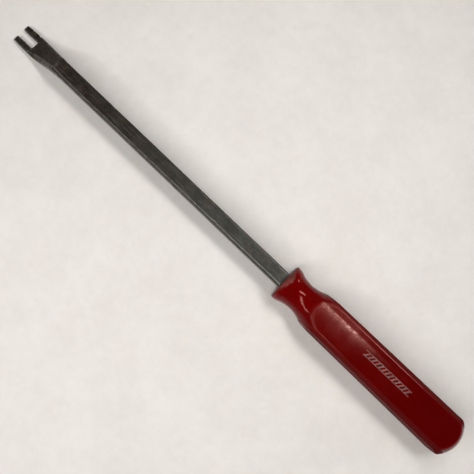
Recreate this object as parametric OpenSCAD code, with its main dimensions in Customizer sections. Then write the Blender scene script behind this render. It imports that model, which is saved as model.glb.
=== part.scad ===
// Forked pry bar with a moulded screwdriver-type handle.
// X runs along the bar from the fork to the end of the handle, and Z is up.
// The tool lies on its back-up face: the handle's lower flat and the fork's tips touch Z = 0,
// and the origin is under the middle of the tool.

/* [Overall] */
// Length from the fork's tips to the end of the handle
overall_len = 420; // [380:1:460]

/* [Square bar] */
// Side of the square bar
bar_size = 11.1; // [9.5:0.1:12.7]
// Radius of the bar's long corners
bar_round = 1.3; // [0.5:0.1:2.5]
// Length of the tang that is held inside the handle
tang_len = 104; // [70:1:125]
// How far each anti-turn wing stands out of the tang
wing_out = 1.6; // [1:0.1:2]

/* [Fork] */
// Width across the fork at its widest
fork_w = 15.4; // [13.5:0.1:18]
// Width across the two tips
tip_w = 14.4; // [13:0.1:17]
// Thickness of the prongs at their tips
tip_thick = 3; // [2:0.1:4]
// Width of the slot between the prongs
slot_w = 6; // [5:0.1:7]
// Depth of the slot from the tips
slot_depth = 15; // [10:0.5:18]
// Radius of the slot's two inner corners
slot_round = 1.6; // [1:0.1:2.4]
// Distance from the tips to the bend line on top of the bar
bend_x = 41.5; // [36:0.5:46]

/* [Handle] */
// Length of the moulded handle
handle_len = 161; // [140:1:180]
// Height between the upper and lower flats
handle_thick = 27.4; // [26:0.1:30]
// Width between the side flats where they start
handle_w_front = 26.5; // [25:0.1:29]
// Width between the side flats at the rear
handle_w_rear = 28.6; // [25:0.1:30]
// Diameter across the rounded corners between the flats
corner_d = 35.2; // [32:0.1:36]
// Diameter that the neck would open out to if the flats and corners did not cut it
body_d = 37.2; // [35:0.1:38]
// Diameter of the rim beside the bar
rim_d = 27.4; // [24:0.1:27.4]
// Diameter at the narrowest place
waist_d = 22; // [19.5:0.1:23]
// Distance from the front of the handle to the narrowest place
waist_x = 17; // [15:0.5:20]
// Radius of the domed end
end_r = 20; // [18:0.1:24]

/* [Foil band] */
// Length of the stamped foil band
band_len = 41; // [30:1:50]
// Width of the stamped foil band
band_w = 4.2; // [3:0.1:5]
// Distance from the front of the handle to the start of the band
band_x = 72; // [60:1:85]
// Distance from the handle's middle line to the middle of the band
band_y = 1.3; // [-2:0.1:2]
// Number of slanted bars between the two lines
bar_count = 13; // [7:1:17]

/* [Hidden] */
$fn = 96;

axis_z = handle_thick / 2;             // height of the bar's middle line
tip_x = -overall_len / 2;              // the fork's tips
front_x = overall_len / 2 - handle_len; // the front of the handle
bar_top = axis_z + bar_size / 2;
bar_under = axis_z - bar_size / 2;
head_len = 48;                         // stretch that is forged to another section
under_start = 2;                       // where the underside starts to rise
flare_x = 18;                          // where the fork starts to narrow into the bar
taper_x = 10;                          // length of the slight taper at the tips
steps = 24;                            // pieces in each forged curve

waist_arc = 24;                        // radius of the hollow of the neck
rim_arc = 9.4;                         // radius of the blend from the rim to the neck
shoulder_arc = 42;                     // radius of the blend from the neck to the body
rim_edge = 1.2;                        // rounding of the rim's front edge
front_bulge = 1.3;                     // how far the front face is domed

wing_len = 12;                         // length of an anti-turn wing
wing_w = 3;                            // thickness of an anti-turn wing
wing_x = [28, 66];                     // where the wings start, from the front of the handle
foil_thick = 0.2;
foil_proud = 0.05;                     // how far the foil stands above the flat
line_w = 0.5;                          // width of the band's two lines
slant = 35;                            // slant of the bars in the band

function ease(u) = let (v = max(0, min(1, u))) v * v * (3 - 2 * v);

// Heights of the head's upper and lower faces, and half its width, at x from the tips
function over(x) = tip_thick + (bar_top - tip_thick) * pow(min(1, x / bend_x), 2);
function under(x) = bar_under * ease((x - under_start) / (head_len - under_start));
function half_width(x) = (x < taper_x ? tip_w + (fork_w - tip_w) * x / taper_x
    : fork_w - (fork_w - bar_size) * ease((x - flare_x) / (head_len - flare_x))) / 2;

// Points on an arc about (cx, cr); the angle is measured from the radius direction
function arc(cx, cr, rad, from, to, n) =
    [for (i = [0 : n]) let (a = from + (to - from) * i / n) [cx + rad * sin(a), cr + rad * cos(a)]];

// Angle and centre of an arc that blends the neck's hollow into a cylinder of radius r
function blend_cos(r, rad) = (waist_d / 2 + waist_arc - r + rad) / (waist_arc + rad);
function blend_angle(r, rad) = acos(blend_cos(r, rad));
function blend_run(r, rad) = (waist_arc + rad) * sin(blend_angle(r, rad));

// Solid turned about the bar's middle line from a list of [x, radius] points
module turned(points) {
    translate([front_x, 0, axis_z])
        rotate([0, 90, 0])
            rotate_extrude()
                polygon([for (p = points) [p[1], p[0]]]);
}

module bar_section() {
    flat = bar_size - 2 * bar_round;
    square([bar_size, flat], center = true);
    square([flat, bar_size], center = true);
    for (sx = [-1, 1], sy = [-1, 1])
        translate([sx * flat / 2, sy * flat / 2])
            circle(r = bar_round);
}

// Square bar with rounded corners, from x0 to x1
module bar_stretch(x0, x1) {
    translate([x0, 0, axis_z])
        rotate([90, 0, 90])
            linear_extrude(x1 - x0)
                bar_section();
}

// The tang is the end of the bar, with wings that stop it from turning in the handle
module tang() {
    bar_stretch(front_x, front_x + tang_len);
    wing_span = bar_size + 2 * wing_out;
    for (x = wing_x)
        translate([front_x + x, -wing_w / 2, axis_z - wing_span / 2])
            cube([wing_len, wing_w, wing_span]);
}

module slot_outline() {
    inner = slot_w / 2 - slot_round;
    translate([-1, -slot_w / 2])
        square([slot_depth + 1 - slot_round, slot_w]);
    translate([-1, -inner])
        square([slot_depth + 1, 2 * inner]);
    for (s = [-1, 1])
        translate([slot_depth - slot_round, s * inner])
            circle(r = slot_round);
}

// Flattened and cranked head: a side outline and a top outline, each cut through the other
module head() {
    xs = [for (i = [0 : steps]) head_len * i / steps];
    side = concat([for (x = xs) [x, under(x)]], [for (i = [steps : -1 : 0]) [xs[i], over(xs[i])]]);
    top = concat([for (x = xs) [x, -half_width(x)]], [for (i = [steps : -1 : 0]) [xs[i], half_width(xs[i])]]);
    translate([tip_x, 0, 0])
        intersection() {
            translate([0, fork_w, 0])
                rotate([90, 0, 0])
                    linear_extrude(2 * fork_w)
                        polygon(side);
            translate([0, 0, -1])
                linear_extrude(bar_top + 2)
                    difference() {
                        polygon(top);
                        slot_outline();
                    }
        }
}

module forked_bar() {
    color("#4a4842") {
        head();
        bar_stretch(tip_x + head_len, front_x);
        tang();
    }
}

// Round body with a waist, a front rim and a domed end
module turned_body() {
    rim_r = rim_d / 2;
    waist_top = waist_d / 2 + waist_arc;
    body_r = body_d / 2;
    dome_r = (pow(rim_r, 2) + pow(front_bulge, 2)) / (2 * front_bulge);
    front_face = [for (i = [0 : 6]) let (r = (rim_r - rim_edge) * i / 6) [dome_r - sqrt(dome_r * dome_r - r * r), r]];
    edge = arc(front_bulge + rim_edge, rim_r - rim_edge, rim_edge, -70, 0, 4);
    a_rim = blend_angle(rim_r, rim_arc);
    a_body = blend_angle(body_r, shoulder_arc);
    rim_blend = arc(waist_x - blend_run(rim_r, rim_arc), rim_r - rim_arc, rim_arc, 0, a_rim, 6);
    hollow = arc(waist_x, waist_top, -waist_arc, a_rim, -a_body, 16);
    shoulder = arc(waist_x + blend_run(body_r, shoulder_arc), body_r - shoulder_arc, shoulder_arc, -a_body, 0, 8);
    dome = arc(handle_len - end_r, 0, end_r, acos(body_r / end_r), 90, 10);
    turned(concat(front_face, edge, rim_blend, hollow, shoulder, dome));
}

// Bar that rounds the corners between the flats
module corner_bar() {
    translate([front_x - 1, 0, axis_z])
        rotate([0, 90, 0])
            cylinder(h = handle_len + 2, d = corner_d);
}

// Block whose four long faces are the flats; its sides open slightly towards the rear
module flats_block() {
    start = waist_x;
    linear_extrude(handle_thick)
        translate([front_x, 0])
            polygon([
                [-1, -rim_d / 2], [start, -rim_d / 2], [start, -handle_w_front / 2],
                [handle_len + 1, -handle_w_rear / 2], [handle_len + 1, handle_w_rear / 2],
                [start, handle_w_front / 2], [start, rim_d / 2], [-1, rim_d / 2]
            ]);
}

module handle() {
    color("#a01412")
        difference() {
            intersection() {
                turned_body();
                corner_bar();
                flats_block();
            }
            tang();
            foil_band_shape();
        }
}

// Plain hatch between two lines, pressed into the upper flat
module foil_band_shape() {
    bars_h = band_w - 2 * line_w;
    pitch = (band_len - bars_h * tan(slant)) / bar_count;
    translate([front_x + band_x, band_y, handle_thick + foil_proud - foil_thick])
        linear_extrude(foil_thick) {
            for (s = [-1, 1])
                translate([0, s * (band_w - line_w) / 2 - line_w / 2])
                    square([band_len, line_w]);
            for (i = [0 : bar_count - 1])
                translate([i * pitch + pitch / 4, -bars_h / 2])
                    polygon([
                        [0, 0], [pitch / 2, 0],
                        [pitch / 2 + bars_h * tan(slant), bars_h], [bars_h * tan(slant), bars_h]
                    ]);
        }
}

module foil_band() {
    color("#d8c4bf") foil_band_shape();
}

forked_bar();
handle();
foil_band();
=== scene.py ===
"""Forked pry bar lying on a pale table: shaped steel, moulded acetate handle and stamped foil."""
import math

import bmesh
import bpy
import numpy as np
from mathutils import Matrix, Vector, noise


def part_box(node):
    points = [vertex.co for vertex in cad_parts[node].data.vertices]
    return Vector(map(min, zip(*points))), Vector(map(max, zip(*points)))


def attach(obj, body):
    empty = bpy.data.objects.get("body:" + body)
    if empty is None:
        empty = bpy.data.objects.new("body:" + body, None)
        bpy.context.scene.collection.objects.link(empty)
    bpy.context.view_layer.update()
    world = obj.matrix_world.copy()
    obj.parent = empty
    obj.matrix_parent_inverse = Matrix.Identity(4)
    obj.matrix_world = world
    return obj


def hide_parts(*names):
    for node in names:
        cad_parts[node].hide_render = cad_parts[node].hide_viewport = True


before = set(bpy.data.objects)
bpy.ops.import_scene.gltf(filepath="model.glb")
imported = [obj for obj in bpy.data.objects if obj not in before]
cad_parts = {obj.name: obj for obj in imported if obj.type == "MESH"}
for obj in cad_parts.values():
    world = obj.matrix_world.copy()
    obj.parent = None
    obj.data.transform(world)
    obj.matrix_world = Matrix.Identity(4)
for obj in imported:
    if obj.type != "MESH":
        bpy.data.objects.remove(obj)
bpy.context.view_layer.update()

MM = 0.001

# ---- where the pieces lie, from the frame --------------------------------------------------

bar_low, bar_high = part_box("forked_bar")
grip_low, grip_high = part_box("handle")
TIP_X = bar_low.x                                   # metres: the fork's tips
GRIP_LEN = 161.0                                    # millimetres, as are all sizes below
FRONT_X = grip_high.x - GRIP_LEN * MM               # metres: the front of the handle
AXIS_Z = (grip_low.z + grip_high.z) / 2 / MM
SHANK_LEN = (FRONT_X - TIP_X) / MM
TANG_END = (bar_high.x - FRONT_X) / MM

# ---- sizes of the steel bar, x from the tips -----------------------------------------------

BAR = 11.1
BAR_ROUND = 1.3
BAR_TOP = AXIS_Z + BAR / 2
BAR_UNDER = AXIS_Z - BAR / 2
HEAD_LEN = 48.0                                     # stretch that is forged to another section
UNDER_START = 2.0                                   # where the underside starts to rise
TAPER_X = 10.0                                      # length of the slight taper at the tips
FLARE_X = 18.0                                      # where the fork starts to narrow into the bar
BEND_X = 41.5
TIP_THICK = 3.0
TIP_W = 14.4
FORK_W = 15.4
SLOT_W = 6.0
SLOT_DEPTH = 15.0
SLOT_ROUND = 1.6
WINGS = (28.0, 66.0)                                # starts, from the front of the handle
WING_LEN = 12.0
WING_HALF_W = 1.5
WING_TOP = BAR / 2 + 1.6
TANG_STEP = 4.0

# ---- sizes of the handle, x from its front -------------------------------------------------

FLAT_H = 13.7
SIDE_FRONT = 13.25
SIDE_REAR = 14.3
CORNER_R = 17.6
BODY_R = 18.6                                       # what the neck opens out to
RIM_R = 13.7
WAIST_R = 11.0
WAIST_X = 17.0
END_R = 20.0
WAIST_ARC = 24.0
RIM_ARC = 9.4
SHOULDER_ARC = 42.0
RIM_EDGE = 1.2
FRONT_BULGE = 1.3
FLAT_BLEND = 0.5                                    # softness of the edge round the neck
CORNER_BLEND = 0.4                                  # softness of the long corners
GRIP_SIDES = 240                                    # points round each ring
SOCKET_START = 1.2                                  # where the socket is straight behind its mouth
MOUTH_ROUND = 0.45
DENT_SEED = 5
SCUFF_SHEEN_START = 28.0                                   # the rubbed stretch of the upper flat, with a painted sheen over it
SCUFF_SHEEN_FADE = 58.0                                    # where the scuffs and the painted sheen start to thin out rearwards
RIDGE_Y = 5.9                                       # the line where the scuffs and the painted sheen are strongest
CRESCENT = 5.6                                      # reach of the worn patch behind the rim


def ease(u):
    """0 to 1 as u goes from 0 to 1, with a smooth start and end."""
    v = np.clip(u, 0, 1)
    return v * v * (3 - 2 * v)


# ---- meshes from stacks of rings -----------------------------------------------------------


def skin(name, rings):
    """Closed piece from rings of points in metres, an N x M x 3 array, capped at both ends."""
    count, sides = rings.shape[:2]
    points = np.concatenate([rings.reshape(-1, 3), [rings[0].mean(0)], [rings[-1].mean(0)]])
    i = np.arange(count - 1)[:, None] * sides
    j = np.arange(sides)[None, :]
    k = (j + 1) % sides
    quads = np.stack([i + j, i + k, i + sides + k, i + sides + j], -1).reshape(-1, 4)
    first, last = count * sides, count * sides + 1
    base = (count - 1) * sides
    caps = [(first, int(b), int(a)) for a, b in zip(j[0], k[0])]
    caps += [(last, int(base + a), int(base + b)) for a, b in zip(j[0], k[0])]
    mesh = bpy.data.meshes.new(name)
    mesh.from_pydata(points.tolist(), [], quads.tolist() + caps)
    shape = bmesh.new()
    shape.from_mesh(mesh)
    bmesh.ops.recalc_face_normals(shape, faces=shape.faces)
    shape.to_mesh(mesh)
    shape.free()
    obj = bpy.data.objects.new(name, mesh)
    bpy.context.scene.collection.objects.link(obj)
    return obj


def applied(obj):
    """Gives obj the mesh that its modifiers make, and drops the modifiers."""
    graph = bpy.context.evaluated_depsgraph_get()
    mesh = bpy.data.meshes.new_from_object(obj.evaluated_get(graph))
    obj.modifiers.clear()
    obj.data = mesh
    return obj


def vertex_places(mesh):
    """The mesh's vertices as rows of x, y and z, in metres."""
    co = np.zeros(len(mesh.vertices) * 3)
    mesh.vertices.foreach_get("co", co)
    return co.reshape(-1, 3)


def paint(mesh, name, values):
    """Stores one value per vertex for the materials to read."""
    layer = mesh.attributes.new(name, "FLOAT", "POINT")
    layer.data.foreach_set("value", np.ascontiguousarray(values, dtype=np.float32))


def smooth(mesh, angle):
    """Shades smoothly, apart from edges that turn by more than the angle in degrees."""
    mesh.shade_smooth()
    shape = bmesh.new()
    shape.from_mesh(mesh)
    for edge in shape.edges:
        if len(edge.link_faces) == 2:
            edge.smooth = edge.calc_face_angle(0) < math.radians(angle)
    shape.to_mesh(mesh)
    shape.free()


def fine_noise(points, scale, seed):
    """Smooth noise from about -1 to 1 at points in metres, with the given features per metre."""
    shift = Vector((seed * 7.31, seed * 3.17, seed * 5.93))
    flat = points.reshape(-1, 3)
    found = [noise.noise(Vector(p) * scale + shift) for p in flat.tolist()]
    return np.array(found).reshape(points.shape[:-1])


# ---- tang and socket section, shared by the bar and the handle -----------------------------


def tang_radius(angle, winged):
    """Distance from the middle line to the tang's skin, for angles from +Y towards +Z."""
    c, s = np.abs(np.cos(angle)), np.abs(np.sin(angle))
    flat = BAR / 2 - BAR_ROUND
    r = np.minimum(BAR / 2 / np.maximum(c, 1e-6), BAR / 2 / np.maximum(s, 1e-6))
    inside = flat * (c + s)
    corner = inside + np.sqrt(np.maximum(BAR_ROUND ** 2 - 2 * flat ** 2 + inside ** 2, 0))
    both = (r * c > flat) & (r * s > flat)
    r = np.where(both, np.minimum(r, corner), r)
    if winged:
        wing = np.minimum(WING_HALF_W / np.maximum(c, 1e-6), WING_TOP / np.maximum(s, 1e-6))
        r = np.maximum(r, wing)
    return r


def tang_stops(start, end):
    """Places along the tang and whether the wings stand there, with a ring on each wing face."""
    stops = [(float(x), False) for x in np.arange(start, end, TANG_STEP)] + [(end, False)]
    for x in WINGS:
        stops = [s for s in stops if not x - 0.5 < s[0] < x + WING_LEN + 0.5]
        inner = np.linspace(x, x + WING_LEN, 5)
        stops += [(x - 0.02, False), (x + WING_LEN + 0.02, False)]
        stops += [(float(v), True) for v in inner]
    return sorted(stops)


# ---- steel bar -----------------------------------------------------------------------------


def over(x):
    """Height of the bar's upper face at x."""
    return TIP_THICK + (BAR_TOP - TIP_THICK) * np.minimum(1, x / BEND_X) ** 2


def under(x):
    """Height of the bar's lower face at x."""
    return BAR_UNDER * ease((x - UNDER_START) / (HEAD_LEN - UNDER_START))


def half_width(x):
    """Half the bar's width at x: a slight taper at the tips, then the fork narrowing rearwards."""
    front = TIP_W + (FORK_W - TIP_W) * x / TAPER_X
    back = FORK_W - (FORK_W - BAR) * ease((x - FLARE_X) / (HEAD_LEN - FLARE_X))
    return np.where(x < TAPER_X, front, back) / 2


# how wide the upper edges are ground off on the -Y and +Y sides, and how deep, along the bar
CHAMFER_X = (0, 8, 12, 16.5, 22.5, 31, 42, 50, 400)
CHAMFER_NEAR = (0.35, 0.4, 0.6, 1.6, 3.0, 2.8, 1.9, 1.3, 1.3)
CHAMFER_FAR = (0.35, 0.4, 0.5, 0.9, 1.5, 1.6, 1.4, 1.3, 1.3)
CHAMFER_DEEP = (0.35, 0.4, 0.5, 1.2, 2.2, 2.3, 1.8, 1.3, 1.3)
HEAD_FOOT = 0.8                                     # rounding of the head's lower edges
HEAD_STEP = 0.6
SHANK_STEP = 0.9
NICK_SEED = 11
FAR_NICKS = 26
NEAR_NICKS = 15
SLOT_LIP = 0.75                                     # how far down the slot's mouth opens
EDGE_ROUND = 0.28


def bar_section(x):
    """Points round the bar's section at x, from the upper edge on the +Y side towards +Y and down."""
    low, high, half = float(under(x)), float(over(x)), float(half_width(x))
    near = np.interp(x, CHAMFER_X, CHAMFER_NEAR)
    far = np.interp(x, CHAMFER_X, CHAMFER_FAR)
    deep = min(np.interp(x, CHAMFER_X, CHAMFER_DEEP), (high - low) * 0.6)
    foot = min(HEAD_FOOT if x < HEAD_LEN else BAR_ROUND, (high - low) * 0.3)
    power = float(np.interp(x, (10, 20, 40, 60), (1.7, 1.25, 1.3, 1.7)))
    corners = (
        (1, 1, far, deep, power, False), (1, -1, foot, foot, 2.0, True),
        (-1, -1, foot, foot, 2.0, False), (-1, 1, near, deep, power, True),
    )
    turn = np.linspace(0, math.pi / 2, 9)
    arcs = []
    for side, face, wide, tall, p, flip in corners:
        across = (half - wide + wide * np.sin(turn) ** (2 / p)) * side
        edge_z = high if face > 0 else low
        up = edge_z - face * tall + face * tall * np.cos(turn) ** (2 / p)
        corner = np.stack([across, up], -1)
        arcs.append(corner[::-1] if flip else corner)
    points = []
    for i, count in enumerate((8, 14, 8, 14)):
        points.append(arcs[i])
        start, end = arcs[i][-1], arcs[(i + 1) % 4][0]
        shares = np.linspace(0, 1, count + 1)[1:-1, None]
        points.append(start + (end - start) * shares)
    return np.concatenate(points)


def shank_rings():
    """Sections from the tips to the front of the handle, closer together along the head."""
    stops = [np.arange(0, HEAD_LEN, HEAD_STEP), np.arange(HEAD_LEN, SHANK_LEN, SHANK_STEP)]
    stops = np.concatenate(stops)
    stops = stops[stops < SHANK_LEN - 0.4]
    sections = np.stack([bar_section(x) for x in stops])
    along = np.broadcast_to(stops[:, None, None], (*sections.shape[:2], 1))
    return np.concatenate([along, sections], -1)


def hammer_marks(rings):
    """Moves the skin by slight hammer and grinding marks, which fade out at both ends."""
    points = rings * MM + [TIP_X, 0, 0]
    outward = rings[:, :, 1:] - rings[:, :, 1:].mean(1, keepdims=True)
    outward /= np.maximum(np.linalg.norm(outward, axis=-1, keepdims=True), 1e-9)
    ends = ease(rings[:, :1, 0] / 3) * ease((SHANK_LEN - rings[:, :1, 0]) / 6)
    uneven = fine_noise(points, 130, 1) * 0.05 + fine_noise(points, 420, 2) * 0.025
    rings[:, :, 1:] += outward * (uneven * ends)[..., None]


def edge_nicks(rings):
    """Presses small nicks into both upper edges."""
    draw = np.random.default_rng(NICK_SEED)
    for side, count in ((1, FAR_NICKS), (-1, NEAR_NICKS)):
        for _ in range(count):
            at = draw.uniform(6, SHANK_LEN - 8)
            deep = draw.uniform(0.12, 0.38)
            long = draw.uniform(0.5, 1.5)
            high, half = float(over(at)), float(half_width(at))
            gap = np.hypot(rings[:, :, 1] * side - half, rings[:, :, 2] - high)
            fall = np.exp(-((rings[:, :, 0] - at) / long) ** 2 - (gap / 1.6) ** 2)
            rings[:, :, 1] -= side * deep * fall
            rings[:, :, 2] -= deep * fall


def tang_rings(last):
    """The tang's sections, with the same points round them as the last section of the shank."""
    face = last[:, 1:] - [0, AXIS_Z]
    angle = np.arctan2(face[:, 1], face[:, 0])
    rings = []
    for x, winged in tang_stops(0.0, TANG_END):
        r = tang_radius(angle, winged)
        across, up = r * np.cos(angle), r * np.sin(angle) + AXIS_Z
        rings.append(np.stack([np.full(len(angle), SHANK_LEN + x), across, up], -1))
    return np.stack(rings)


def slot_outline():
    """The slot seen from above, from outside the -Y tip round to outside the +Y tip."""
    inner = SLOT_W / 2 - SLOT_ROUND
    turn = np.linspace(0, math.pi / 2, 7)
    ends_x = SLOT_DEPTH - SLOT_ROUND + SLOT_ROUND * np.cos(turn)
    half_line = [(x, inner + SLOT_ROUND * math.sin(a)) for x, a in zip(ends_x, turn)]
    mirrored = [(x, -y) for x, y in half_line[::-1]]
    return [(-2.0, -SLOT_W / 2), *mirrored, *half_line[1:], (-2.0, SLOT_W / 2)]


def make_slot_cutter():
    """Solid that cuts the slot and opens its mouth where it meets the upper face."""
    outline = [(x, y, float(over(max(x, 0)))) for x, y in slot_outline()]
    rings = [[(x, y, -1.0) for x, y, _ in outline]]
    for share in (0.0, 0.5, 1.0):
        rings.append([(x, y, (top - SLOT_LIP) * share) for x, y, top in outline])
    for lift, wide in ((0.25, 0.8), (3.0, 3.4)):
        grown = 1 + wide / (SLOT_W / 2)
        ring = []
        for x, y, top in outline:
            back = x + wide * max(0.0, (x - 9) / 6) * 0.6
            ring.append((back, y * grown, top + lift))
        rings.append(ring)
    return skin("slot_cutter", np.array(rings) * MM + [TIP_X, 0, 0])


def cut_slot(bar):
    """Cuts the slot between the prongs."""
    cutter = make_slot_cutter()
    cut = bar.modifiers.new("slot", "BOOLEAN")
    cut.object = cutter
    cut.operation = "DIFFERENCE"
    cut.solver = "EXACT"
    applied(bar)
    bpy.data.objects.remove(cutter)


def round_edges(bar):
    """Takes the sharpness off the slot's and the tips' edges."""
    rounding = bar.modifiers.new("rounding", "BEVEL")
    rounding.width = EDGE_ROUND * MM
    rounding.segments = 2
    rounding.limit_method = "ANGLE"
    rounding.angle_limit = math.radians(38)
    applied(bar)
    smooth(bar.data, 40)


def paint_bar(bar):
    """Paints the rubbed edges with painted highlights along them and a painted reflection of the table
    on the head's lower facet, the rust and painted shade on the head's sloping top, and how far along it
    a point is.
    """
    co = vertex_places(bar.data) / MM - [TIP_X / MM, 0, 0]
    x, y, z = co.T
    out = np.abs(y)
    high, half = over(x), half_width(x)
    near = np.interp(x, CHAMFER_X, CHAMFER_NEAR)
    far = np.interp(x, CHAMFER_X, CHAMFER_FAR)
    face_edge = half - np.where(y < 0, near, far)
    # rubbed upper edges, lightened further by painted highlights along the corners
    upper = np.exp(-((face_edge - out) / 0.55) ** 2) * ease((z - high + 1.4) / 1.2)
    upper *= np.where(y > 0, 0.45 + 0.4 * ease((x - 130) / 60), 1.0)
    # painted glint along the slot's lip
    lip = np.exp(-((out - SLOT_W / 2 - 0.4) / 0.6) ** 2) * ease((z - high + 1.6) / 1.2)
    lip *= x < SLOT_DEPTH + 1
    tips = np.exp(-(x / 0.8) ** 2)
    # painted reflection of the table on the head's lower facet
    facet = ease((out - face_edge) / 0.4) * (y < 0) * ease((x - 15) / 6) * ease((43 - x) / 7)
    edge = np.clip(np.maximum.reduce([upper, lip, tips, 0.72 * facet]), 0, 1)
    # painted highlight along the bend's crease
    bend = np.exp(-((x - BEND_X - 0.3) / 0.9) ** 2) * ease((z - high + 1.0) / 0.8)
    bend *= ease((2.0 - y) / 2.5) * ease((face_edge - out + 0.2) / 0.8)
    # rust and painted shade: the head's sloping top, between the fork and the bend, is darkened
    rust_and_shade = ease((x - 19) / 7) * ease((BEND_X + 1.5 - x) / 3) * ease((z - high + 2.2) / 1.6)
    rust_and_shade *= ease((face_edge - out + 0.6) / 1.2)
    along = np.clip(x / SHANK_LEN, 0, 1)
    for name, values in (("edge", edge), ("bend", bend), ("rust_and_shade", rust_and_shade), ("along", along)):
        paint(bar.data, name, values)


def make_bar():
    """The steel bar with its fork and its hidden tang."""
    rings = shank_rings()
    hammer_marks(rings)
    edge_nicks(rings)
    rings[:, :, 2] = np.maximum(rings[:, :, 2], 0.0)
    rings = np.concatenate([rings, tang_rings(rings[-1])])
    bar = skin("steel_bar", rings * MM + [TIP_X, 0, 0])
    cut_slot(bar)
    round_edges(bar)
    paint_bar(bar)
    return bar


# ---- handle --------------------------------------------------------------------------------


def arc(cx, cr, rad, start, end, count):
    """Points on an arc about (cx, cr), with the angle measured from the radius direction."""
    a = np.radians(np.linspace(start, end, count))
    return np.stack([cx + rad * np.sin(a), cr + rad * np.cos(a)], -1)


def blend_angle(r, rad):
    """How far, in degrees, an arc turns that blends the neck's hollow into a cylinder of radius r."""
    return math.degrees(math.acos((WAIST_R + WAIST_ARC - r + rad) / (WAIST_ARC + rad)))


def blend_run(r, rad):
    """How far that blend ends from the narrowest place, along the handle."""
    return (WAIST_ARC + rad) * math.sin(math.radians(blend_angle(r, rad)))


def spaced(line, step):
    """The same line with its points about one step apart."""
    gaps = np.linalg.norm(np.diff(line, axis=0), axis=1)
    run = np.concatenate([[0], np.cumsum(gaps)])
    even = np.linspace(0, run[-1], int(run[-1] / step) + 2)
    return np.stack([np.interp(even, run, line[:, 0]), np.interp(even, run, line[:, 1])], -1)


def face_x(r):
    """How far the domed front face stands back at radius r."""
    ball = (RIM_R ** 2 + FRONT_BULGE ** 2) / (2 * FRONT_BULGE)
    return ball - np.sqrt(ball ** 2 - r ** 2)


def outer_line():
    """The turned outline from the rim's front edge to the domed end, as (x, radius)."""
    a_rim = blend_angle(RIM_R, RIM_ARC)
    a_body = blend_angle(BODY_R, SHOULDER_ARC)
    edge = arc(FRONT_BULGE + RIM_EDGE, RIM_R - RIM_EDGE, RIM_EDGE, -78, 0, 10)
    rim = arc(WAIST_X - blend_run(RIM_R, RIM_ARC), RIM_R - RIM_ARC, RIM_ARC, 0, a_rim, 30)
    hollow = arc(WAIST_X, WAIST_R + WAIST_ARC, -WAIST_ARC, a_rim, -a_body, 80)
    shoulder_x = WAIST_X + blend_run(BODY_R, SHOULDER_ARC)
    shoulder = arc(shoulder_x, BODY_R - SHOULDER_ARC, SHOULDER_ARC, -a_body, 0, 40)
    start = math.degrees(math.acos(BODY_R / END_R))
    dome = arc(GRIP_LEN - END_R, 0, END_R, start, 89.2, 80)
    body = np.concatenate([rim, hollow, shoulder, dome])
    return np.concatenate([edge, spaced(body, 0.5)[1:]])


def soft_min(a, b, k):
    """The smaller of a and b, blended over k where they are nearly the same."""
    h = np.clip(0.5 + 0.5 * (b - a) / k, 0, 1)
    return b + (a - b) * h - k * h * (1 - h)


def flat_radius(x, angle):
    """Distance from the middle line to the flats and rounded corners, at angles from +Y to +Z."""
    side = SIDE_FRONT + (SIDE_REAR - SIDE_FRONT) * (x - WAIST_X) / (GRIP_LEN + 1 - WAIST_X)
    c, s = np.maximum(np.abs(np.cos(angle)), 1e-6), np.maximum(np.abs(np.sin(angle)), 1e-6)
    flat = np.minimum(side / c, FLAT_H / s)
    r = soft_min(flat, np.full(angle.shape, CORNER_R), CORNER_BLEND)
    return np.where(x > WAIST_X, r, 99.0)


CAPS = [0.0, 0.0]                                   # painted values of the two closing vertices
ANGLES = np.arange(GRIP_SIDES) / GRIP_SIDES * 2 * math.pi


def grip_ring(x, r):
    """Points at radius r round the handle's middle line, at x."""
    return np.stack([np.broadcast_to(x, r.shape), r * np.cos(ANGLES), r * np.sin(ANGLES) + AXIS_Z], -1)


def socket_and_front():
    """The blind socket from its end to its mouth, then the domed front out to the rim."""
    rings = []
    for x, winged in reversed(tang_stops(SOCKET_START, TANG_END)):
        rings.append(grip_ring(x, tang_radius(ANGLES, winged)))
    mouth = tang_radius(ANGLES, False)
    for grow, back in ((0.0, 0.5), (0.06, 0.22), (0.22, 0.06), (MOUTH_ROUND, 0.0)):
        r = mouth + grow
        rings.append(grip_ring(face_x(r) + back, r))
    for share in np.linspace(0, 1, 12)[1:]:
        r = (mouth + MOUTH_ROUND) * (1 - share) + (RIM_R - RIM_EDGE - 0.25) * share
        rings.append(grip_ring(face_x(r), r))
    return np.array(rings)


def outside():
    """The outside from the rim to the domed end, and how near each point is to a flat's edge."""
    line = outer_line()
    turned = np.repeat(line[:, 1:], GRIP_SIDES, axis=1)
    flats = np.array([flat_radius(x, ANGLES) for x in line[:, 0]])
    radii = soft_min(turned, flats, FLAT_BLEND)
    rings = np.array([grip_ring(x, r) for x, r in zip(line[:, 0], radii)])
    edge = np.exp(-((turned - flats) / 0.8) ** 2) * (turned < CORNER_R + 1)
    return rings, edge


def press_dents(rings, edge, rim):
    """Presses small dents into the rim and along the edges of the flats."""
    draw = np.random.default_rng(DENT_SEED)
    outward = rings[:, :, 1:] - [0, AXIS_Z]
    outward = outward / np.maximum(np.linalg.norm(outward, axis=-1, keepdims=True), 1e-9)
    depth = np.zeros(edge.shape)
    for count, low, high, mask in ((34, 28, 150, edge), (14, 0.5, 5, rim)):
        for _ in range(count):
            at = draw.uniform(low, high)
            turn = draw.uniform(0, 2 * math.pi)
            deep = draw.uniform(0.05, 0.16)
            long = draw.uniform(0.5, 1.6)
            across = np.angle(np.exp(1j * (ANGLES[None, :] - turn))) * 14
            reach = ((rings[:, :, 0] - at) / long) ** 2 + (across / (long * 1.4)) ** 2
            depth = np.maximum(depth, deep * np.exp(-reach) * mask)
    rings[:, :, 1:] -= outward * depth[..., None]


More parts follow.
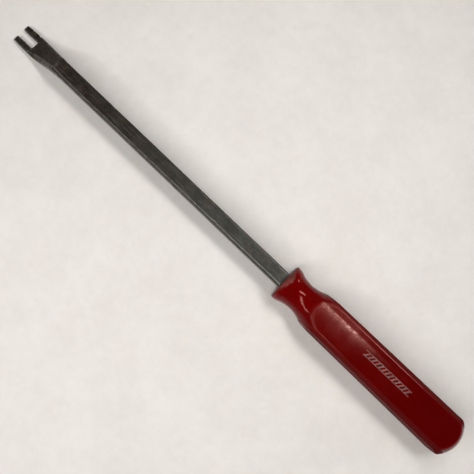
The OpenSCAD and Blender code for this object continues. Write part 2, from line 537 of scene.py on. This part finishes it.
def paint_grip(grip, rings, edge):
    """Paints the painted shade that darkens the handle rearwards, its worn edges, the scuffs with their
    painted sheen and the worn patch behind the rim.
    """
    x, y, z = rings[..., 0], rings[..., 1], rings[..., 2] - AXIS_Z
    # painted shade: the red darkens from the neck towards the rear, where the light falls off
    rear_shade = np.interp(x, (8, 40, 134), (0.0, 0.5, 0.78))
    # scuffs with a painted sheen on the front of the upper flat, strongest along a line towards +Y
    level = ease((z - FLAT_H + 1.4) / 1.0) * (x > SCUFF_SHEEN_START - 1)
    thinning = np.exp(-(np.maximum(x - SCUFF_SHEEN_FADE, 0) / 12) ** 1.2)
    across = 0.66 * np.exp((y - RIDGE_Y) / 1.8) + 0.34 * np.exp((y - RIDGE_Y) / 5.0)
    ridge = ease((RIDGE_Y + 1.5 - y) / 1.2)
    scuff_and_sheen = level * thinning * ease((x - SCUFF_SHEEN_START) / 2.5) * np.clip(across, 0, 1.1)
    scuff_and_sheen *= 0.12 + 0.88 * ridge
    reach = CRESCENT * (1 - ((y - 2.0) / 11.5) ** 2)
    crescent = ease((reach + 1.2 - x) / 2.4) * (z > 0)
    for name, values in (("rear_shade", rear_shade), ("edge", edge), ("scuff_and_sheen", scuff_and_sheen), ("rim", crescent)):
        paint(grip.data, name, np.append(values, CAPS))


def make_grip():
    """The moulded handle with its blind socket."""
    inner = socket_and_front()
    outer, edge = outside()
    rim = np.exp(-((outer[:, :, 0] - 2.4) / 1.6) ** 2)
    press_dents(outer, edge, rim)
    rings = np.concatenate([inner, outer])
    grip = skin("grip", rings * MM + [FRONT_X, 0, 0])
    grip.data.shade_smooth()
    worn_edge = np.concatenate([np.zeros(inner.shape[:2]), np.maximum(edge, rim)])
    paint_grip(grip, rings, worn_edge)
    return grip


# ---- shader building -----------------------------------------------------------------------


def add(tree, kind, sockets=None, **settings):
    """New node whose sockets are linked or set, and whose settings are set."""
    node = tree.nodes.new(kind)
    for key, value in settings.items():
        setattr(node, key, value)
    for key, value in (sockets or {}).items():
        if isinstance(value, bpy.types.NodeSocket):
            tree.links.new(value, node.inputs[key])
        else:
            node.inputs[key].default_value = value
    return node


def math_node(tree, operation, a, b=0.0):
    return add(tree, "ShaderNodeMath", {0: a, 1: b}, operation=operation).outputs[0]


def span(tree, value, low, high, to_low=0.0, to_high=1.0):
    """Maps low..high to the other range with an eased curve, and stays inside it."""
    sockets = {"Value": value, "From Min": low, "From Max": high, "To Min": to_low, "To Max": to_high}
    return add(tree, "ShaderNodeMapRange", sockets, interpolation_type="SMOOTHSTEP").outputs[0]


def mix(tree, share, a, b):
    """Colour that goes from a to b as share goes from 0 to 1."""
    node = add(tree, "ShaderNodeMix", {0: share, 6: a, 7: b}, data_type="RGBA")
    return node.outputs[2]


def cloud(tree, vector, scale, detail=3.0, rough=0.55):
    """Cloudy noise about 0.5, with the given number of patches per metre."""
    sockets = {"Vector": vector, "Scale": scale, "Detail": detail, "Roughness": rough}
    return add(tree, "ShaderNodeTexNoise", sockets).outputs["Fac"]


def group(name, inputs, outputs):
    """New shader node group with named sockets; returns its tree, inputs and output node."""
    tree = bpy.data.node_groups.new(name, "ShaderNodeTree")
    for label, kind, value in inputs:
        socket = tree.interface.new_socket(label, in_out="INPUT", socket_type=kind)
        if value is not None:
            socket.default_value = value
    for label, kind in outputs:
        tree.interface.new_socket(label, in_out="OUTPUT", socket_type=kind)
    given = tree.nodes.new("NodeGroupInput").outputs
    result = tree.nodes.new("NodeGroupOutput").inputs
    return tree, given, result


FLOAT = "NodeSocketFloat"
COLOR = "NodeSocketColor"
PLACE = "NodeSocketVector"

# cloudy change between two colours, in two sizes of patch
mottling, given, result = group(
    "Mottling",
    [("Vector", PLACE, None), ("Scale", FLOAT, 60.0), ("Contrast", FLOAT, 0.15),
     ("Dark", COLOR, (0, 0, 0, 1)), ("Light", COLOR, (1, 1, 1, 1))],
    [("Color", COLOR), ("Value", FLOAT)],
)
wide = cloud(mottling, given["Vector"], given["Scale"], 5.0, 0.6)
fine_scale = math_node(mottling, "MULTIPLY", given["Scale"], 5.3)
fine = cloud(mottling, given["Vector"], fine_scale, 4.0, 0.65)
both = math_node(mottling, "ADD", math_node(mottling, "MULTIPLY", wide, 0.62),
                 math_node(mottling, "MULTIPLY", fine, 0.38))
lowest = math_node(mottling, "SUBTRACT", 0.5, given["Contrast"])
highest = math_node(mottling, "ADD", 0.5, given["Contrast"])
value = span(mottling, both, lowest, highest)
mottling.links.new(mix(mottling, value, given["Dark"], given["Light"]), result["Color"])
mottling.links.new(value, result["Value"])

# scattered small spots
spots, given, result = group(
    "Spots",
    [("Vector", PLACE, None), ("Scale", FLOAT, 400.0), ("Cover", FLOAT, 0.3), ("Soft", FLOAT, 0.06)],
    [("Mask", FLOAT)],
)
grain = cloud(spots, given["Vector"], given["Scale"], 3.0, 0.6)
start = math_node(spots, "SUBTRACT", 0.72, math_node(spots, "MULTIPLY", given["Cover"], 0.4))
end = math_node(spots, "ADD", start, given["Soft"])
spots.links.new(span(spots, grain, start, end), result["Mask"])

# fine scratches, long in X
scratches, given, result = group(
    "Scratches",
    [("Vector", PLACE, None), ("Stretch", PLACE, (40.0, 900.0, 900.0)), ("Cover", FLOAT, 0.3)],
    [("Mask", FLOAT)],
)
pulled = add(scratches, "ShaderNodeVectorMath", {0: given["Vector"], 1: given["Stretch"]},
             operation="MULTIPLY").outputs[0]
lines = cloud(scratches, pulled, 1.0, 2.0, 0.5)
start = math_node(scratches, "SUBTRACT", 0.70, math_node(scratches, "MULTIPLY", given["Cover"], 0.3))
end = math_node(scratches, "ADD", start, 0.07)
scratches.links.new(span(scratches, lines, start, end), result["Mask"])

# patchy mask that follows a painted edge but breaks up along it: wear, and on the steel also painted
# highlights
edge_wear_and_glint, given, result = group(
    "Edge rub",
    [("Vector", PLACE, None), ("Edge", FLOAT, 0.0), ("Scale", FLOAT, 300.0), ("Reach", FLOAT, 0.5)],
    [("Mask", FLOAT)],
)
patchy = cloud(edge_wear_and_glint, given["Vector"], given["Scale"], 4.0, 0.65)
swing = math_node(edge_wear_and_glint, "MULTIPLY", math_node(edge_wear_and_glint, "SUBTRACT", patchy, 0.5), 1.5)
total = math_node(edge_wear_and_glint, "ADD", given["Edge"], swing)
start = math_node(edge_wear_and_glint, "SUBTRACT", 1.0, given["Reach"])
end = math_node(edge_wear_and_glint, "ADD", start, 0.35)
edge_wear_and_glint.links.new(span(edge_wear_and_glint, total, start, end), result["Mask"])


def place_group(tree, which, sockets):
    """Places a node group with its own values and returns its outputs."""
    return add(tree, "ShaderNodeGroup", sockets, node_tree=which).outputs


def painted(tree, name):
    """The values that paint() stored on the mesh."""
    return add(tree, "ShaderNodeAttribute", attribute_name=name).outputs["Fac"]


def material(name):
    """New material; returns it, its tree, object coordinates and its surface shader."""
    mat = bpy.data.materials.new(name)
    mat.use_nodes = True
    tree = mat.node_tree
    tree.nodes.clear()
    out = add(tree, "ShaderNodeOutputMaterial")
    surface = add(tree, "ShaderNodeBsdfPrincipled")
    tree.links.new(surface.outputs[0], out.inputs["Surface"])
    where = add(tree, "ShaderNodeTexCoord").outputs["Object"]
    return mat, tree, where, surface


def relief(tree, surface, height, strength, distance):
    """Fine relief on the surface from a height that goes from about 0 to 1."""
    sockets = {"Height": height, "Strength": strength, "Distance": distance}
    made = add(tree, "ShaderNodeBump", sockets)
    tree.links.new(made.outputs[0], surface.inputs["Normal"])


# ---- steel ---------------------------------------------------------------------------------

steel, tree, where, surface = material("weathered_steel")
along = painted(tree, "along")
fork_tone = place_group(tree, mottling, {
    "Vector": where, "Scale": 95.0, "Contrast": 0.13,
    "Dark": (0.020, 0.0148, 0.0108, 1), "Light": (0.046, 0.036, 0.028, 1)})
grip_tone = place_group(tree, mottling, {
    "Vector": where, "Scale": 70.0, "Contrast": 0.14,
    "Dark": (0.030, 0.0307, 0.026, 1), "Light": (0.058, 0.058, 0.051, 1)})
base = mix(tree, span(tree, along, 0.15, 0.95), fork_tone["Color"], grip_tone["Color"])
brown = place_group(tree, spots, {"Vector": where, "Scale": 150.0, "Cover": 0.42, "Soft": 0.14})
base = mix(tree, math_node(tree, "MULTIPLY", brown["Mask"], 0.55), base, (0.070, 0.046, 0.028, 1))
dirt = place_group(tree, spots, {"Vector": where, "Scale": 620.0, "Cover": 0.40, "Soft": 0.08})
base = mix(tree, math_node(tree, "MULTIPLY", dirt["Mask"], 0.75), base, (0.026, 0.022, 0.019, 1))
# rust and painted shade on the head's sloping top: a darker tone, rougher and less metallic
rust_and_shade = painted(tree, "rust_and_shade")
darkened_top_tone = place_group(tree, mottling, {
    "Vector": where, "Scale": 210.0, "Contrast": 0.12,
    "Dark": (0.013, 0.009, 0.006, 1), "Light": (0.034, 0.024, 0.017, 1)})
base = mix(tree, math_node(tree, "MULTIPLY", rust_and_shade, 0.85), base, darkened_top_tone["Color"])
fine_lines = place_group(tree, scratches, {
    "Vector": where, "Stretch": (60.0, 1500.0, 1500.0), "Cover": 0.34})
base = mix(tree, math_node(tree, "MULTIPLY", fine_lines["Mask"], 0.30), base, (0.20, 0.195, 0.175, 1))
# lighter along the edges, tips, slot lip, bend and lower facet: rubbed bare steel together with painted
# highlights and a painted reflection of the table
steel_edge_wear_and_glint = place_group(tree, edge_wear_and_glint, {
    "Vector": where, "Edge": painted(tree, "edge"), "Scale": 260.0, "Reach": 0.55})
wear_and_highlights = math_node(tree, "MAXIMUM", steel_edge_wear_and_glint["Mask"], math_node(tree, "MULTIPLY", painted(tree, "bend"), 0.8))
base = mix(tree, math_node(tree, "MULTIPLY", wear_and_highlights, 0.45), base, (0.20, 0.19, 0.17, 1))
tree.links.new(base, surface.inputs["Base Color"])
surface.inputs["Specular IOR Level"].default_value = 0.30
rough = span(tree, cloud(tree, where, 300.0, 4.0), 0.3, 0.7, 0.36, 0.50)
rough = math_node(tree, "SUBTRACT", rough, math_node(tree, "MULTIPLY", wear_and_highlights, 0.12))
rough = math_node(tree, "ADD", rough, math_node(tree, "MULTIPLY", rust_and_shade, 0.15))
tree.links.new(rough, surface.inputs["Roughness"])
metal = math_node(tree, "SUBTRACT", 0.50, math_node(tree, "MULTIPLY", rust_and_shade, 0.30))
metal = math_node(tree, "SUBTRACT", metal, math_node(tree, "MULTIPLY", dirt["Mask"], 0.3))
tree.links.new(metal, surface.inputs["Metallic"])
height = math_node(tree, "ADD", cloud(tree, where, 1400.0, 4.0, 0.6),
                   math_node(tree, "MULTIPLY", dirt["Mask"], -0.8))
height = math_node(tree, "SUBTRACT", height, math_node(tree, "MULTIPLY", fine_lines["Mask"], 0.3))
relief(tree, surface, height, 0.45, 0.10 * MM)

# ---- red acetate ---------------------------------------------------------------------------

acetate, tree, where, surface = material("red_acetate_worn")
body = place_group(tree, mottling, {
    "Vector": where, "Scale": 45.0, "Contrast": 0.2,
    "Dark": (0.124, 0.0001, 0.0002, 1), "Light": (0.158, 0.0002, 0.0003, 1)})
# painted shade: darker red towards the rear
base = mix(tree, painted(tree, "rear_shade"), body["Color"], (0.066, 0.0001, 0.0002, 1))
# scuffs with a painted sheen: lighter pinkish over the front of the upper flat, with bright specks in it
scuff_and_sheen = painted(tree, "scuff_and_sheen")
patch = place_group(tree, mottling, {
    "Vector": where, "Scale": 150.0, "Contrast": 0.16,
    "Dark": (0.0, 0.0, 0.0, 1), "Light": (1.0, 1.0, 1.0, 1)})
scuff_and_sheen_share = math_node(tree, "MULTIPLY", scuff_and_sheen, span(tree, patch["Value"], 0.0, 1.0, 0.45, 1.0))
base = mix(tree, math_node(tree, "MULTIPLY", scuff_and_sheen_share, 0.95), base, (0.42, 0.165, 0.140, 1))
bits = place_group(tree, spots, {"Vector": where, "Scale": 430.0, "Cover": 0.50, "Soft": 0.09})
bright = math_node(tree, "MULTIPLY", bits["Mask"], span(tree, scuff_and_sheen, 0.35, 0.9, 0.0, 0.75))
base = mix(tree, bright, base, (0.58, 0.33, 0.29, 1))
rim_worn = place_group(tree, edge_wear_and_glint, {
    "Vector": where, "Edge": painted(tree, "rim"), "Scale": 330.0, "Reach": 0.45})
base = mix(tree, math_node(tree, "MULTIPLY", rim_worn["Mask"], 0.55), base, (0.15, 0.048, 0.040, 1))
edge_worn = place_group(tree, edge_wear_and_glint, {
    "Vector": where, "Edge": painted(tree, "edge"), "Scale": 210.0, "Reach": 0.30})
base = mix(tree, math_node(tree, "MULTIPLY", edge_worn["Mask"], 0.04), base, (0.30, 0.07, 0.06, 1))
grime = place_group(tree, spots, {"Vector": where, "Scale": 480.0, "Cover": 0.52, "Soft": 0.10})
grimed = math_node(tree, "MULTIPLY", grime["Mask"], painted(tree, "rim"))
base = mix(tree, math_node(tree, "MULTIPLY", grimed, 0.6), base, (0.040, 0.024, 0.014, 1))
pits = place_group(tree, spots, {"Vector": where, "Scale": 520.0, "Cover": 0.36, "Soft": 0.05})
scuff_sheen_and_rim = math_node(tree, "MAXIMUM", scuff_and_sheen, painted(tree, "rim"))
pitted = math_node(tree, "MULTIPLY", pits["Mask"], scuff_sheen_and_rim)
base = mix(tree, math_node(tree, "MULTIPLY", pitted, 0.7), base, (0.075, 0.018, 0.012, 1))
hair = place_group(tree, scratches, {
    "Vector": where, "Stretch": (70.0, 1100.0, 1100.0), "Cover": 0.30})
base = mix(tree, math_node(tree, "MULTIPLY", hair["Mask"], 0.012), base, (0.30, 0.10, 0.09, 1))
tree.links.new(base, surface.inputs["Base Color"])

# the neck stays glossy; behind it the long corners and the sides are dulled by handling
sides = add(tree, "ShaderNodeSeparateXYZ", {0: where}).outputs
handled = span(tree, sides["X"], FRONT_X + 26 * MM, FRONT_X + 38 * MM)
from_middle = math_node(tree, "ABSOLUTE", sides["Y"])
dulled = span(tree, from_middle, 10.5 * MM, 11.2 * MM, 0.0, 0.62)
dulled = math_node(tree, "MULTIPLY", handled, dulled)
rough = span(tree, body["Value"], 0.0, 1.0, 0.08, 0.13)
rough = math_node(tree, "ADD", rough, dulled)
rough = math_node(tree, "ADD", rough, math_node(tree, "MULTIPLY", painted(tree, "edge"), 0.32))
rough = math_node(tree, "ADD", rough, math_node(tree, "MULTIPLY", scuff_and_sheen_share, 0.28))
rough = math_node(tree, "ADD", rough, math_node(tree, "MULTIPLY", rim_worn["Mask"], 0.25))
rough = math_node(tree, "ADD", rough, math_node(tree, "MULTIPLY", hair["Mask"], 0.02))
tree.links.new(rough, surface.inputs["Roughness"])
surface.inputs["IOR"].default_value = 1.48
surface.inputs["Specular IOR Level"].default_value = 0.28
surface.inputs["Specular Tint"].default_value = (1.0, 0.42, 0.38, 1)
height = math_node(tree, "SUBTRACT", cloud(tree, where, 900.0), pitted)
height = math_node(tree, "SUBTRACT", height, math_node(tree, "MULTIPLY", hair["Mask"], 0.12))
relief(tree, surface, height, 0.22, 0.08 * MM)

# ---- stamped foil --------------------------------------------------------------------------

foil, tree, where, surface = material("worn_foil")
tone = place_group(tree, mottling, {
    "Vector": where, "Scale": 260.0, "Contrast": 0.16,
    "Dark": (0.11, 0.024, 0.021, 1), "Light": (0.21, 0.090, 0.080, 1)})
gone = place_group(tree, spots, {"Vector": where, "Scale": 900.0, "Cover": 0.54, "Soft": 0.08})
base = mix(tree, math_node(tree, "MULTIPLY", gone["Mask"], 0.8), tone["Color"], (0.14, 0.01, 0.01, 1))
tree.links.new(base, surface.inputs["Base Color"])
tree.links.new(math_node(tree, "MULTIPLY", tone["Value"], 0.35), surface.inputs["Metallic"])
tree.links.new(span(tree, tone["Value"], 0.0, 1.0, 0.55, 0.38), surface.inputs["Roughness"])
relief(tree, surface, cloud(tree, where, 2200.0, 3.0), 0.3, 0.04 * MM)

# ---- table top -----------------------------------------------------------------------------

pale, tree, where, surface = material("pale_table")
tone = place_group(tree, mottling, {
    "Vector": where, "Scale": 22.0, "Contrast": 0.22,
    "Dark": (0.735, 0.705, 0.670, 1), "Light": (0.815, 0.790, 0.755, 1)})
fleck = place_group(tree, spots, {"Vector": where, "Scale": 120.0, "Cover": 0.35, "Soft": 0.16})
base = mix(tree, math_node(tree, "MULTIPLY", fleck["Mask"], 0.25), tone["Color"], (0.70, 0.66, 0.62, 1))
tree.links.new(base, surface.inputs["Base Color"])
tree.links.new(span(tree, tone["Value"], 0.0, 1.0, 0.55, 0.75), surface.inputs["Roughness"])
surface.inputs["Specular IOR Level"].default_value = 0.2
relief(tree, surface, cloud(tree, where, 380.0, 5.0, 0.6), 0.12, 0.2 * MM)

# ---- pieces --------------------------------------------------------------------------------

bar = make_bar()
bar.data.materials.append(steel)
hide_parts("forked_bar")
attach(bar, "root")

grip = make_grip()
grip.data.materials.append(acetate)
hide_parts("handle")
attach(grip, "root")

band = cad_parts["foil_band"]
for material_slot in band.material_slots:
    material_slot.material = foil

# ---- floor, light and camera ---------------------------------------------------------------

bpy.ops.mesh.primitive_plane_add(size=6)
floor = bpy.context.object
floor.name = "floor"
floor.data.materials.append(pale)

LAMP_COLOUR = (1.0, 0.985, 0.965)
TABLE_AIM = (-0.02, -0.01, 0.01)                    # just off the middle of the tool
NECK_AIM = (0.070, 0.0, 0.024)
BEND_1 = (-0.042, -0.437, 0.733)                    # where the run of light strips bends
BEND_2 = (-0.258, -0.502, 0.493)


def lamp(name, place, aim, size, power, shines=True, spread=180):
    """Flat lamp in watts that faces aim; it isn't mirrored in glossy pieces unless it shines."""
    data = bpy.data.lights.new(name, "AREA")
    data.shape = "ELLIPSE" if size[0] == size[1] else "RECTANGLE"
    data.size, data.size_y = size
    data.energy = power
    data.color = LAMP_COLOUR
    data.spread = math.radians(spread)
    obj = bpy.data.objects.new(name, data)
    obj.location = place
    obj.rotation_euler = (Vector(aim) - Vector(place)).to_track_quat("-Z", "Y").to_euler()
    obj.visible_glossy = shines
    bpy.context.scene.collection.objects.link(obj)
    return obj


def tube(name, start, end, width, power):
    """Flat strip of light from one point to the other, facing the tool's neck."""
    start, end, neck = Vector(start), Vector(end), Vector(NECK_AIM)
    run = end - start
    middle = (start + end) / 2
    back = (middle - neck).normalized()
    along = (run - back * run.dot(back)).normalized()
    obj = lamp(name, middle, neck, (run.length, width), power)
    obj.rotation_euler = Matrix((along, back.cross(along), back)).transposed().to_euler()


lamp("main_light", (-0.095, 0.37, 0.70), TABLE_AIM, (0.25, 0.25), 0.255, shines=False, spread=78)
lamp("small_light", (0.24, 0.33, 0.84), NECK_AIM, (0.33, 0.15), 2.7)
lamp("low_light", (0.82, 0.87, 0.33), NECK_AIM, (0.20, 0.13), 0.9)
tube("tube_1", (0.174, -0.044, 0.893), BEND_1, 0.13, 2.3)
tube("tube_2", BEND_1, BEND_2, 0.08, 1.1)
tube("tube_3", BEND_2, (-0.398, -0.41, 0.384), 0.08, 0.62)

# the room is bright low down on one side and dim overhead and on the other side
BRIGHT_SIDE = (-0.87, -0.5, 0.0)
world = bpy.data.worlds.new("room")
bpy.context.scene.world = world
world.use_nodes = True
tree = world.node_tree
tree.nodes.clear()
toward = add(tree, "ShaderNodeTexCoord").outputs["Generated"]
rise = add(tree, "ShaderNodeSeparateXYZ", {0: toward}).outputs["Z"]
side = add(tree, "ShaderNodeVectorMath", {0: toward, 1: BRIGHT_SIDE}, operation="DOT_PRODUCT")
sideways = span(tree, side.outputs["Value"], -0.6, 0.9, 0.45, 1.0)
upwards = span(tree, rise, 0.35, 0.97, 1.0, 0.25)
glow = math_node(tree, "MULTIPLY", sideways, upwards)
sky = add(tree, "ShaderNodeBackground", {"Color": (0.225, 0.220, 0.216, 1), "Strength": glow})
add(tree, "ShaderNodeOutputWorld", {"Surface": sky.outputs[0]})

CAMERA_PLACE = Vector((31.70, -61.19, 508.20)) * MM
RIGHT = Vector((0.72247, 0.68982, 0.04684))
DOWN = Vector((0.68945, -0.71368, -0.12376))
AHEAD = Vector((-0.05195, 0.1217, -0.99121))
lens = bpy.data.cameras.new("camera")
lens.sensor_width = 36
lens.lens = 54.74
lens.clip_start = 0.01
lens.clip_end = 20
camera = bpy.data.objects.new("camera", lens)
turned = Matrix((RIGHT, -DOWN, -AHEAD)).transposed().to_4x4()
camera.matrix_world = Matrix.Translation(CAMERA_PLACE) @ turned
bpy.context.scene.collection.objects.link(camera)
bpy.context.scene.camera = camera

bpy.context.scene.view_settings.view_transform = "Standard"
